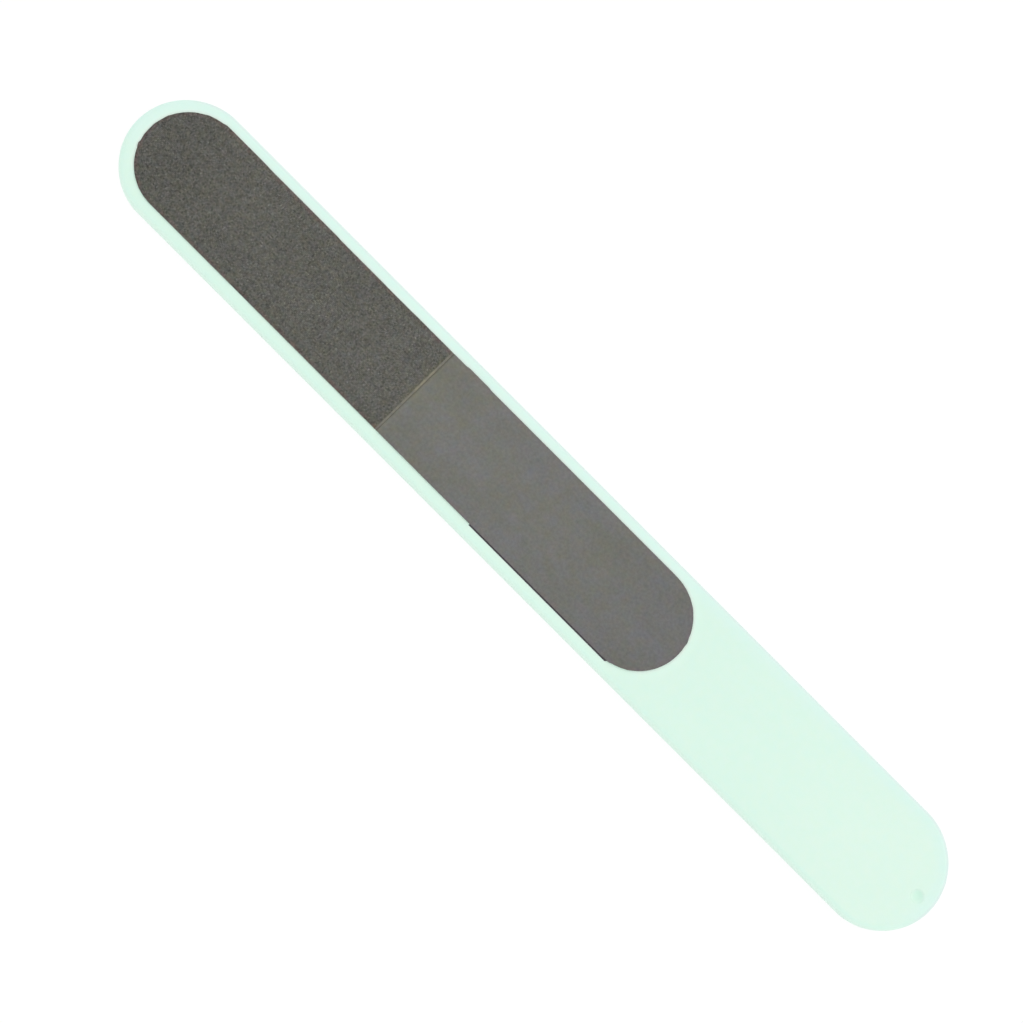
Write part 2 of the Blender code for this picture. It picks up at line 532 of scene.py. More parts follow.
@dataclass(frozen=True)
class Grit:
    """A coat of mineral grains bonded in a dark resin."""

    name: str
    resin: Colour
    grain: Colour
    pale_grain: Colour
    cut_edge: Colour
    tone_spread: float  # how unlike each other the grains are
    clump_spread: float  # how unlike each other the clumps of grains are
    clump_size: float
    slow_spread: float  # how much the shade wanders over millimetres
    hue_size: float  # how large its patches of hue are
    red_spread: float  # how far they stray from red
    blue_spread: float  # and from blue
    slow_blue_spread: float  # how far its blue wanders over millimetres
    seam_stain: float  # how much blue the stain beside the seam takes away
    slow_stain: float  # and a weaker one that reaches far from the seam
    tip_blue: float  # how much bluer the last millimetre of the round end is
    seam_wear_and_light: float  # how much paler the seam's edge is, part wear and part painted light
    seam_painted_shade: float  # how much painted shade darkens the seam's edge, or painted light brightens it where below 0
    rim_shade: float  # how much darker the sheet is along its rim
    side_shade: float  # how much darker it is towards its long sides than in its middle
    press_shade: float  # how much darker and greener the line pressed inside its +Y side is
    far_fade: float  # how much darker the round end is
    far_band: Band  # and where that comes in, from the seam
    bed_band: Band  # how deep under the tips the grains give way to resin
    roughness: float
    pale_tones: Band = (0.88, 1.0)
    press_inset: float = 1.06 * MM  # of the pressed line from the edge
    press_line: Band = (0.05 * MM, 0.32 * MM)  # from that line
    press_side: Band = (4 * MM, 6 * MM)  # across the file, as every side here
    worn_and_lit_seam: Band = (0.3 * MM, 1.2 * MM)  # from the seam, as every seam here
    worn_and_lit_side: Band = (-4.5 * MM, -2.0 * MM)
    shaded_seam: Band = (0.05 * MM, 0.32 * MM)
    clean_side: Band = (-3 * MM, 4 * MM)  # where the painted shade at the seam and the far stain are weaker
    warm_y: float = -0.6 * MM  # the middle of the seam's redder stretch
    warm_reach: Band = (1.5 * MM, 3.5 * MM)  # from there
    warm_seam: Band = (0.2 * MM, 1.2 * MM)
    stained_seam: Band = (0.0, 0.9 * MM)
    far_stained_seam: Band = (0.0, 26 * MM)
    bluer_tip: Band = (58 * MM, 59.5 * MM)  # from the seam
    shaded_rim: Band = (0.2 * MM, 1.1 * MM)  # from the edge
    shaded_side: Band = (-6 * MM, -1 * MM)
    dark_sides: Band = (3 * MM, 5.5 * MM)  # from the file's middle line to both sides
    light_side: Band = (6.8 * MM, 7.8 * MM)  # and to the -Y side, where that ends
    cut_band: Band = (0.2 * MM, 0.9 * MM)  # from the edge
    cut_raggedness: float = 0.35 * MM

    def make(self, coat: "GritCoat", middle_z: float) -> Material:
        """Lays the material's nodes.

        Args:
            coat: The coat that it is for.
            middle_z: The height of the file's middle plane.

        Returns:
            The material.
        """
        bench, plan = FinishBench(self.name), coat.plan
        along, across, up = bench.axes()
        tone = bench.value("ShaderNodeAttribute", {"attribute_name": GRAIN_TONE}, None, "Fac")
        dust = bench.noise(0.09 * MM, 1.0)
        mottle, drift = bench.noise(2.6 * MM, 3.0), bench.noise(11 * MM)
        away = plan.heading * (along - plan.seam_x)
        past = (plan.heading * (along - plan.centre_x)).most(0.0)
        edge = plan.half_width - (past * past + across * across) ** 0.5
        under_tips = (coat.high_z - middle_z) - (up - middle_z).size()
        # weakens the seam's painted shade and the far stain towards +Y
        soiled = 1 - 0.6 * across.rises(*self.clean_side)
        pressed = (edge - self.press_inset).size().fades(*self.press_line)
        pressed = self.press_shade * pressed * across.rises(*self.press_side)

        shade = 1 + self.tone_spread * (tone - 0.5)
        shade = shade + self.clump_spread * (bench.noise(self.clump_size, 1.0) - 0.5)
        shade = shade + self.slow_spread * (1.2 * mottle + 0.8 * drift - 1) + 0.06 * (dust - 0.5)
        shade = shade - self.far_fade * away.rises(*self.far_band)
        # paler along the seam, part wear and part painted light
        worn_and_lit = away.fades(*self.worn_and_lit_seam) * across.rises(*self.worn_and_lit_side)
        # painted shade beside the seam's gap, or painted light where its setting is below 0
        seam_shade = away.fades(*self.shaded_seam) * soiled
        shade = shade + self.seam_wear_and_light * worn_and_lit - self.seam_painted_shade * seam_shade
        rim = edge.fades(*self.shaded_rim) * across.rises(*self.shaded_side)
        sides = across.size().rises(*self.dark_sides) * (-1 * across).fades(*self.light_side)
        shade = shade - self.rim_shade * rim + self.side_shade * (0.35 - sides) - pressed

        red = self.red_spread * (bench.noise(self.hue_size, 1.0) - 0.5)
        warm = (across - self.warm_y).size().fades(*self.warm_reach)
        red = red + 0.02 * warm * away.fades(*self.warm_seam) - 1.5 * pressed

        blue = self.blue_spread * (bench.noise(1.3 * self.hue_size) - 0.5)
        blue = blue + self.slow_blue_spread * 0.5 * (bench.noise(3.4 * MM) + drift - 1)
        spilt = (0.4 + 1.2 * bench.noise(2.2 * MM, 1.0)) * (1 - 0.4 * across.rises(0.0, 3 * MM))
        blue = blue - self.seam_stain * spilt * away.fades(*self.stained_seam)
        blue = blue - self.slow_stain * soiled * away.fades(*self.far_stained_seam)
        blue = blue + self.tip_blue * away.rises(*self.bluer_tip) - 0.8 * pressed

        pale = tone.rises(*self.pale_tones)
        ragged = edge + self.cut_raggedness * (bench.noise(0.6 * MM) - 0.5)
        rubbed = 0.45 + 0.55 * bench.noise(1.7 * MM, 1.0).rises(0.42, 0.60)
        colour = bench.blend(pale, self.grain, self.pale_grain)
        colour = bench.blend(under_tips.fades(*self.bed_band), self.resin, colour)
        colour = bench.blend(rubbed * ragged.fades(*self.cut_band), colour, self.cut_edge)
        colour = bench.tint(bench.tinge(colour, red, blue), shade)
        bench.relief(dust, 0.010 * MM)
        roughness = self.roughness - 0.30 * pale + 0.06 * (dust - 0.5)
        return bench.dress(colour, roughness, IOR=1.45)


GRITS = {
    Grade.COARSE: Grit(
        name="coarse_grit", roughness=0.78,
        resin=(0.084, 0.083, 0.072), grain=(0.125, 0.124, 0.107),
        pale_grain=(0.153, 0.151, 0.132), cut_edge=(0.127, 0.100, 0.088),
        tone_spread=0.85, clump_spread=0.74, clump_size=0.36 * MM, slow_spread=0.28,
        hue_size=0.85 * MM, red_spread=0.24, blue_spread=0.45, slow_blue_spread=0.10,
        seam_stain=0.17, slow_stain=0.0, tip_blue=0.07, seam_wear_and_light=0.07, seam_painted_shade=-0.10,
        rim_shade=0.05, side_shade=0.034, press_shade=0.035, far_fade=0.115,
        far_band=(43 * MM, 53 * MM), bed_band=(0.03 * MM, 0.085 * MM),
    ),
    Grade.FINE: Grit(
        name="fine_grit", roughness=0.72,
        resin=(0.158, 0.159, 0.147), grain=(0.1735, 0.1745, 0.161),
        pale_grain=(0.196, 0.196, 0.183), cut_edge=(0.164, 0.152, 0.146),
        tone_spread=0.04, clump_spread=0.40, clump_size=0.50 * MM, slow_spread=0.13,
        hue_size=1.15 * MM, red_spread=0.22, blue_spread=0.36, slow_blue_spread=0.54,
        seam_stain=0.10, slow_stain=0.09, tip_blue=0.0, seam_wear_and_light=0.055, seam_painted_shade=0.125,
        rim_shade=0.015, side_shade=0.036, press_shade=0.015, far_fade=0.09,
        far_band=(30 * MM, 58 * MM), bed_band=(0.0, 0.03 * MM),
    ),
}


@dataclass(frozen=True)
class BackingPaper:
    """The grit's tan backing paper, felted from short fibres and soiled along the seam."""

    colour: Colour = (0.262, 0.244, 0.178)
    soiled_colour: Colour = (0.172, 0.169, 0.149)
    end_colour: Colour = (0.165, 0.145, 0.130)
    clean_y: float = -2.3 * MM  # where the seam is cleanest
    handled_band: Band = (1.5 * MM, 3.4 * MM)  # from there, where it is soiled by handling
    end_band: Band = (7.6 * MM, 8.6 * MM)  # from the file's middle line to the seam's ends
    roughness: float = 0.85

    def make(self) -> Material:
        """Lays the material's nodes and returns it."""
        bench = FinishBench("tan_backing_paper")
        across = bench.axes()[1]
        fibres = bench.noise(0.10 * MM, 3.0, (0.5, 1.0, 2.5))
        stain = bench.noise(0.9 * MM).rises(0.38, 0.66)
        handled = (across - self.clean_y).size().rises(*self.handled_band)
        soiled = (0.55 * stain + 0.55 * handled).least(1.0)
        colour = bench.blend(soiled, self.colour, self.soiled_colour)
        ends = 0.8 * across.size().rises(*self.end_band)
        colour = bench.blend(ends, colour, self.end_colour)
        colour = bench.tint(colour, 0.84 + 0.32 * fibres)
        bench.relief(fibres, 0.012 * MM)
        return bench.dress(colour, self.roughness + 0.1 * (fibres - 0.5))


@dataclass(frozen=True)
class DarkAdhesive:
    """The film of adhesive that a sheet lies on. In the seam's gap it holds grinding dust."""

    seam_x: float
    colour: Colour = (0.048, 0.042, 0.052)
    smeared_colour: Colour = (0.090, 0.086, 0.090)
    dust_colour: Colour = (0.180, 0.166, 0.118)
    dusty_band: Band = (0.4 * MM, 0.8 * MM)  # from the seam
    roughness: float = 0.55

    def make(self) -> Material:
        """Lays the material's nodes and returns it."""
        bench = FinishBench("dark_adhesive")
        along = bench.axes()[0]
        smear = bench.noise(0.30 * MM, 2.0, (0.4, 1.0, 1.0))
        specks = bench.noise(0.07 * MM).rises(0.55, 0.75)
        colour = bench.blend(0.35 * specks, self.colour, self.smeared_colour)
        dusty = (along - self.seam_x).size().fades(*self.dusty_band)
        colour = bench.blend(dusty, colour, self.dust_colour)
        bench.relief(smear, 0.010 * MM)
        return bench.dress(colour, self.roughness + 0.25 * (smear - 0.5))


# The paddle


@dataclass
class Paddle:
    """The moulded plate: rounded rims, a parting line round its walls and a gate mark."""

    length: float
    width: float
    low_z: float
    high_z: float
    end_points: int = 96  # round each round end
    end_lean: float = 0.15 * MM  # how far the round ends lean towards +Y
    lean_angle: float = math.radians(50)  # how far round from the tips they lean in full
    lean_fade: float = 10 * MM  # and over what length that fades
    rim_rounding: float = 0.85 * MM
    rim_facets: int = 10
    flash_height: float = 0.02 * MM  # how far the parting line stands out
    flash_width: float = 0.10 * MM
    gate_diameter: float = 2.3 * MM
    gate_depth: float = 0.32 * MM
    gate_inset: float = 3.26 * MM  # from the handle's tip
    gate_offset: float = 0.18 * MM  # towards +Y
    gate_lip: float = 0.20 * MM
    gate_slump: Triple = (-0.02 * MM, -0.40 * MM, 0.0)  # of the bowl's lowest point
    crease: float = math.radians(32)  # the least angle that stays sharp

    @classmethod
    def from_node(cls, node: str) -> "Paddle":
        """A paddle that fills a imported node's box."""
        low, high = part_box(node)
        return cls(high.x - low.x, high.y - low.y, low.z, high.z)

    @property
    def half_width(self) -> float:
        """Half the paddle's width."""
        return self.width / 2

    @property
    def straight(self) -> float:
        """How far from the middle the round ends begin."""
        return self.length / 2 - self.width / 2

    @property
    def gate(self) -> Vector:
        """Where the gate mark's middle lies on the front face."""
        return Vector((self.gate_inset - self.length / 2, self.gate_offset, self.high_z))

    def draw_outline(self) -> Piece:
        """Draws the outline as one flat face.

        Returns:
            The face, at the height of the plate's underside.
        """
        radius = self.half_width - self.flash_height
        centre = (self.straight, 0.0, self.low_z)
        piece = draw_strip("paddle_moulding", self.end_points, radius, centre, 1.0, 0.0)
        shape_by(
            piece, "MIRROR", "other_end", use_axis=(True, False, False),
            use_mirror_merge=True, merge_threshold=TINY,
        )
        full_x = self.straight + radius * math.cos(self.lean_angle)
        with editing(piece):
            join_faces(piece)
            for end in (-1, 1):
                pick(piece, Part.POINT, lambda point: end * point.co.x > full_x)
                draw_out((0.0, self.end_lean, 0.0), self.lean_fade)
            pick(piece, Part.POINT, lambda point: point.co.y > radius)
            bpy.ops.transform.resize(value=(1.0, 0.0, 1.0), center_override=(0.0, radius, 0.0))
        return piece

    def raise_plate(self, piece: Piece) -> None:
        """Extrudes the outline to the plate's thickness and rounds its rims.

        Args:
            piece: The flat outline.
        """
        with editing(piece):
            pick_all()
            extrude((0.0, 0.0, self.high_z - self.low_z))
        face_outwards(piece)
        with editing(piece):
            pick(piece, Part.EDGE, lambda edge: abs(
                edge.verts[0].co.z - edge.verts[1].co.z
            ) < TINY)
            bpy.ops.mesh.bevel(
                offset=self.rim_rounding,
                segments=self.rim_facets,
                profile=0.5,
                affect="EDGES",
                clamp_overlap=False,
            )

    def draw_parting_line(self, piece: Piece) -> None:
        """Raises the fine line where the mould's halves met, half way up the walls.

        Args:
            piece: The plate.
        """
        middle = (self.low_z + self.high_z) / 2
        for height in (-self.flash_width / 2, 0.0, self.flash_width / 2):
            with editing(piece):
                slice_through((0.0, 0.0, middle + height), (0.0, 0.0, 1.0))
        with editing(piece):
            pick(piece, Part.POINT, lambda point: abs(point.co.z - middle) < HAIR)
            bpy.ops.transform.shrink_fatten(value=self.flash_height)

    def sink_gate_mark(self, piece: Piece) -> None:
        """Cuts the gate mark's bowl, softens its lip and draws its lowest point to one side.

        Args:
            piece: The plate.
        """
        mouth = self.gate_diameter / 2
        ball_radius = (mouth**2 + self.gate_depth**2) / (2 * self.gate_depth)
        rise = Vector((0.0, 0.0, ball_radius - self.gate_depth))
        bpy.ops.mesh.primitive_uv_sphere_add(
            segments=64, ring_count=72, radius=ball_radius, location=self.gate + rise
        )
        ball = bpy.context.object
        settle(ball)
        shape_by(
            piece, "BOOLEAN", "gate_mark", operation="DIFFERENCE", solver="EXACT", object=ball
        )
        scrap(ball)

        def reach(point: bmesh.types.BMVert) -> float:
            """How far a point lies from the gate's axis."""
            return (point.co - self.gate).xy.length

        def on_lip(edge: bmesh.types.BMEdge) -> bool:
            """Whether an edge runs round the bowl's mouth."""
            return all(
                abs(reach(point) - mouth) < 2 * TINY and abs(point.co.z - self.high_z) < TINY
                for point in edge.verts
            )

        def is_lowest(point: bmesh.types.BMVert) -> bool:
            """Whether a point lies at the bowl's bottom."""
            depth = self.high_z - point.co.z
            return reach(point) < 0.12 * MM and self.gate_depth / 2 < depth < 2 * self.gate_depth

        with editing(piece):
            pick(piece, Part.EDGE, on_lip)
            bpy.ops.mesh.bevel(offset=self.gate_lip, segments=5, profile=0.5, affect="EDGES")
            pick(piece, Part.POINT, is_lowest)
            draw_out(self.gate_slump, 0.95 * mouth, connected=True)

    def build(self, finish: Material) -> Piece:
        """Builds the paddle and dresses it.

        Args:
            finish: Its plastic.

        Returns:
            The finished piece.
        """
        piece = self.draw_outline()
        self.raise_plate(piece)
        self.draw_parting_line(piece)
        self.sink_gate_mark(piece)
        face_outwards(piece)
        alone(piece)
        bpy.ops.object.shade_smooth_by_angle(angle=self.crease)
        shape_by(piece, "WEIGHTED_NORMAL", "flat_faces_stay_flat", keep_sharp=True)
        piece.data.materials.append(finish)
        stand_in(piece, "paddle")
        return piece


# The sheets


@dataclass(frozen=True)
class Nick:
    """A point of a sheet's round end that the die cut out of line."""

    angle: float  # from the tip towards +Y
    reach: float  # outwards, or inwards where below 0


@dataclass(frozen=True)
class Jut:
    """A stretch of a sheet's long side that the die cut out of line."""

    side: float  # 1 for the +Y side and -1 for the -Y side
    start: float  # how far from the seam it begins
    end: float
    reach: float  # outwards, or inwards where below 0


@dataclass(frozen=True)
class Die:
    """How a grade's die strays from its true outline."""

    stray: float  # how far it strays round the end
    nicks: tuple[Nick, ...]
    juts: tuple[Jut, ...]
    nick_width: float = 0.8 * MM
    jut_depth: float = 0.05 * MM  # how far inside the side a jut still takes hold
    jut_fade: float = 0.8 * MM


DIES = {
    Grade.COARSE: Die(
        0.12 * MM,
        (Nick(math.radians(21), 0.13 * MM), Nick(math.radians(16), -0.08 * MM)),
        (
            Jut(-1.0, 42.5 * MM, 51.5 * MM, 0.065 * MM),
            Jut(-1.0, 26.3 * MM, 51.5 * MM, 0.065 * MM),
            Jut(-1.0, 9.3 * MM, 14.9 * MM, -0.06 * MM),
            Jut(1.0, 29.0 * MM, 32.6 * MM, -0.07 * MM),
        ),
    ),
    Grade.FINE: Die(
        0.09 * MM,
        (
            Nick(math.radians(-16), 0.08 * MM),
            Nick(0.0, -0.06 * MM),
            Nick(math.radians(79), 0.09 * MM),
        ),
        (
            Jut(-1.0, 3.4 * MM, 7.8 * MM, 0.10 * MM),
            Jut(-1.0, 3.4 * MM, 50.0 * MM, 0.025 * MM),
        ),
    ),
}


@dataclass(frozen=True)
class SheetPlan:
    """A die-cut sheet's outline: square at the seam and round at its other end."""

    seam_x: float
    tip_x: float
    half_width: float
    die: Die
    arc_points: int = 34
    stray_from: float = 0.35  # of the round end's radius, past its centre
    seed: int = 4

    @classmethod
    def from_node(cls, node: str, grade: Grade) -> "SheetPlan":
        """The outline of a packed sheet of this grade."""
        low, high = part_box(node)
        ends = (low.x, high.x) if grade is Grade.COARSE else (high.x, low.x)
        return cls(*ends, (high.y - low.y) / 2, DIES[grade])

    @property
    def heading(self) -> float:
        """1 where the round end points to the head, and -1 to the handle."""
        return math.copysign(1.0, self.tip_x - self.seam_x)

    @property
    def centre_x(self) -> float:
        """Where the round end's centre lies."""
        return self.tip_x - self.heading * self.half_width

    def holds(self, place: Vector) -> bool:
        """Whether a place lies inside the outline."""
        past = max(0.0, self.heading * (place.x - self.centre_x))
        return math.hypot(past, place.y) < self.half_width

    def draw(self, name: str, height: float) -> Piece:
        """Draws the outline as one flat face.

        Args:
            name: The piece's name.
            height: The height it lies at.

        Returns:
            The piece.
        """
        centre = (self.centre_x, 0.0, height)
        piece = draw_strip(
            name, self.arc_points, self.half_width, centre, self.heading, self.seam_x
        )
        with editing(piece):
            join_faces(piece)
            pick(piece, Part.POINT, lambda point: (
                self.heading * (point.co.x - self.centre_x) > self.stray_from * self.half_width
            ))
            bpy.ops.transform.vertex_random(offset=self.die.stray, seed=self.seed)
            for nick in self.die.nicks:
                outward = Vector((self.heading * math.cos(nick.angle), math.sin(nick.angle), 0.0))
                spot = Vector(centre) + self.half_width * outward
                pick(piece, Part.POINT, lambda point: (
                    (point.co - spot).length < self.die.nick_width / 2
                ))
                bpy.ops.transform.translate(value=nick.reach * outward)
            pick_all()
            flatten(height)
        return piece

    def press_juts(self, piece: Piece) -> None:
        """Moves the stretches of a layer's long sides that the die cut out of line.

        Args:
            piece: The layer, with points along its sides.
        """
        with editing(piece):
            for jut in self.die.juts:
                pick(piece, Part.POINT, lambda point: (
                    jut.side * point.co.y > self.half_width - self.die.jut_depth
                    and jut.start < self.heading * (point.co.x - self.seam_x) < jut.end
                ))
                draw_out((0.0, jut.side * jut.reach, 0.0), self.die.jut_fade)


@dataclass
class PaperLayer:
    """A sheet's backing paper, with the fibres that the die leaves along its cut edge."""

    plan: SheetPlan
    low_z: float
    high_z: float
    step: float = 0.22 * MM  # between points along the cut edge
    fray: float = 0.012 * MM
    seed: int = 11

    def build(self, name: str) -> Piece:
        """Builds the layer.

        Args:
            name: The piece's name.

        Returns:
            The piece, undressed.
        """
        piece = self.plan.draw(name, self.low_z)
        thickness = self.high_z - self.low_z
        straight = abs(self.plan.seam_x - self.plan.centre_x)
        with editing(piece):
            for run, axis in ((straight, "x"), (2 * self.plan.half_width, "y")):
                pick(piece, Part.EDGE, lambda edge: abs(
                    getattr(edge.verts[0].co - edge.verts[1].co, axis)
                ) > 0.9 * run)
                bpy.ops.mesh.subdivide(number_cuts=round(run / self.step))
            pick_all()
            extrude((0.0, 0.0, thickness))
        face_outwards(piece)
        with editing(piece):
            slice_through((0.0, 0.0, (self.low_z + self.high_z) / 2), (0.0, 0.0, 1.0))
            pick_all()
            bpy.ops.transform.vertex_random(offset=self.fray, seed=self.seed)
            for height in (self.low_z, self.high_z):
                pick(piece, Part.POINT, lambda point: (
                    abs(point.co.z - height) < 0.3 * thickness
                ))
                flatten(height)
        self.plan.press_juts(piece)
        return piece


@dataclass
class GritCoat:
    """A coat of grains, die-cut with its paper and broken away a little along the seam."""

    plan: SheetPlan
    low_z: float
    high_z: float
    spacing: float  # between the grains
    bed: float  # how deep under the tips the resin lies between the grains
    tooth: float  # how far a grain's tip is lifted out of its bed, 0 for grains one facet each
    play: float  # how unevenly the grains stand
    seam_bite: float  # how far the seam's edge is broken away at most
    seed: int
    sway: float = 0.42  # of the spacing, how far a grain lies off its place
    rim_sway: float = 0.05  # and on the rim
    merging: float = 0.25  # of the spacing, how close two points on the rim become one
    wander_size: float = 0.75 * MM  # of the bites along the seam
    skirt: float = 0.35 * MM  # how wide the walls lie on the bake map

    def lay_grid(self, name: str) -> Piece:
        """Lays one cell for each grain over the sheet's length and width."""
        plan = self.plan
        length, width = abs(plan.tip_x - plan.seam_x), 2 * plan.half_width
        bpy.ops.mesh.primitive_grid_add(
            x_subdivisions=round(length / self.spacing),
            y_subdivisions=round(width / self.spacing),
            size=1.0,
            location=((plan.tip_x + plan.seam_x) / 2, 0.0, self.high_z - self.bed),
        )
        piece = bpy.context.object
        piece.name = name
        piece.scale = (length, width, 1.0)
        settle(piece)
        return piece

    def die_cut(self, piece: Piece) -> None:
        """Trims the grid to the sheet's outline and draws its rim onto the die's line.

        Args:
            piece: The grid.
        """
        with editing(piece):
            pick(piece, Part.FACE, lambda face: not self.plan.holds(face.calc_center_median()))
            bpy.ops.mesh.delete(type="FACE")
            pick(piece, Part.POINT, lambda point: point.is_boundary)
            bpy.ops.object.vertex_group_assign_new()
        die = self.plan.draw("die", self.low_z - self.bed)
        with editing(die):
            pick_all()
            extrude((0.0, 0.0, 6 * self.bed))
            pick(die, Part.FACE, lambda face: abs(face.normal.z) > 0.5)
            bpy.ops.mesh.delete(type="ONLY_FACE")
        shape_by(
            piece, "SHRINKWRAP", "rim_on_die", target=die, wrap_method="NEAREST_SURFACEPOINT"
        )
        scrap(die)
        with editing(piece):
            pick_all()
            bpy.ops.mesh.remove_doubles(threshold=self.merging * self.spacing)

    def break_seam(self, piece: Piece) -> None:
        """Breaks grains away along the seam, so that its edge wanders.

        Args:
            piece: The trimmed grid.
        """
        if self.seam_bite <= 0:
            return
        with editing(piece):
            pick(piece, Part.POINT, lambda point: abs(
                point.co.x - self.plan.seam_x
            ) < 0.5 * self.spacing)
            bpy.ops.object.vertex_group_assign_new()
        texture = bpy.data.textures.new("seam_wander", "CLOUDS")
        texture.noise_scale = self.wander_size
        texture.noise_depth = 2
        shape_by(
            piece, "DISPLACE", "seam_bite", texture=texture, texture_coords="GLOBAL",
            direction="X", mid_level=0.0, strength=self.plan.heading * self.seam_bite,
        )
        bpy.data.textures.remove(texture)

    def scatter(self, piece: Piece) -> None:
        """Unsettles the cells and stands a grain on each.

        Args:
            piece: The trimmed grid.
        """
        sway = self.sway * self.spacing
        with editing(piece):
            pick(piece, Part.POINT, lambda point: not point.is_boundary)
            bpy.ops.transform.vertex_random(offset=sway, seed=self.seed)
            bpy.ops.transform.resize(
                value=(1.0, 1.0, self.play / sway),
                center_override=(0.0, 0.0, self.high_z - self.bed),
            )
            pick(piece, Part.POINT, lambda point: point.is_boundary)
            bpy.ops.transform.vertex_random(offset=self.rim_sway * self.spacing, seed=self.seed + 1)
            if self.tooth > 0:
                before = len(bmesh.from_edit_mesh(piece.data).verts)
                pick_all()
                bpy.ops.mesh.poke(offset=self.tooth, center_mode="MEDIAN")
                pick(piece, Part.POINT, lambda point: point.index >= before)
                bpy.ops.transform.vertex_random(offset=self.play, seed=self.seed + 2)

    def tone_grains(self, piece: Piece) -> None:
        """Gives each grain a shade of its own, from 0 to 1.

        Args:
            piece: The coat's upper surface.
        """
        draw = random.Random(self.seed)
        shape = bmesh.new()
        shape.from_mesh(piece.data)
        layer = shape.faces.layers.float.new(GRAIN_TONE)
        told: dict[int, float] = {}
        for face in shape.faces:
            tip = max(face.verts, key=lambda point: point.index)
            key = tip.index if self.tooth > 0 else face.index
            if key not in told:
                told[key] = (draw.random() + draw.random()) / 2
            face[layer] = told[key]
        shape.to_mesh(piece.data)
        shape.free()

    def close_coat(self, piece: Piece) -> None:
        """Brings the tallest grain to full height, and gives the coat walls and an underside.

        Args:
            piece: The coat's upper surface.
        """
        tallest = max(point.co.z for point in piece.data.vertices)
        walls = {"value": (0.0, 0.0, self.low_z - self.high_z)}
        with editing(piece):
            pick_all()
            bpy.ops.transform.translate(value=(0.0, 0.0, self.high_z - tallest))
            pick(piece, Part.EDGE, lambda edge: edge.is_boundary)
            bpy.ops.mesh.extrude_edges_move(TRANSFORM_OT_translate=walls)
            flatten(self.low_z)
            bpy.ops.mesh.edge_face_add()
            pick_all()
            bpy.ops.mesh.normals_make_consistent(inside=False)

    def fold_out(self, x: float, y: float) -> tuple[float, float]:
        """Where a point of a wall's foot lies on the bake map, in metres.

        Args:
            x: The point's place along the file.
            y: Its place across the file.

        Returns:
            Its place, moved out by the skirt's width.
        """
        plan = self.plan
        outward = Vector((x - plan.centre_x, y))
        if plan.heading * outward.x < 0:
            outward.x = 0.0
        if abs(x - plan.seam_x) < 0.4 * MM and abs(y) < plan.half_width - 0.3 * MM:
            outward = Vector((-plan.heading, 0.0))
        outward.normalize()
        return x + self.skirt * outward.x, y + self.skirt * outward.y

    def map_coat(self, piece: Piece) -> None:
        """Lays the coat's bake map: the surface from above, its walls folded out round it.

        The underside goes into a small patch in a corner.

        Args:
            piece: The closed coat.
        """
        mesh, plan = piece.data, self.plan
        low_x = min(plan.seam_x, plan.tip_x) - self.skirt
        span_x = abs(plan.tip_x - plan.seam_x) + 2 * self.skirt
        span_y = 2 * (plan.half_width + self.skirt)
        patch_size, patch_v = 0.014, 0.985
        patch_u = patch_v if plan.heading > 0 else 0.0
        layer = mesh.uv_layers.new(name=BAKE_MAP)
        spots: list[float] = []
        for face in mesh.polygons:
            underside = len(face.vertices) > 8
            for index in face.vertices:
                x, y, z = mesh.vertices[index].co
                if z < self.low_z + TINY and not underside:
                    x, y = self.fold_out(x, y)
                u, v = (x - low_x) / span_x, (y + span_y / 2) / span_y
                if underside:
                    u, v = patch_u + patch_size * u, patch_v + patch_size * v
                spots += (u, v)
        layer.uv.foreach_set("vector", spots)

    def build(self, name: str) -> Piece:
        """Builds the coat.

        Args:
            name: The piece's name.

        Returns:
            The piece, undressed.
        """
        piece = self.lay_grid(name)
        self.die_cut(piece)
        self.break_seam(piece)
        self.scatter(piece)
        self.tone_grains(piece)
        self.close_coat(piece)
        self.plan.press_juts(piece)
        self.map_coat(piece)
        return piece


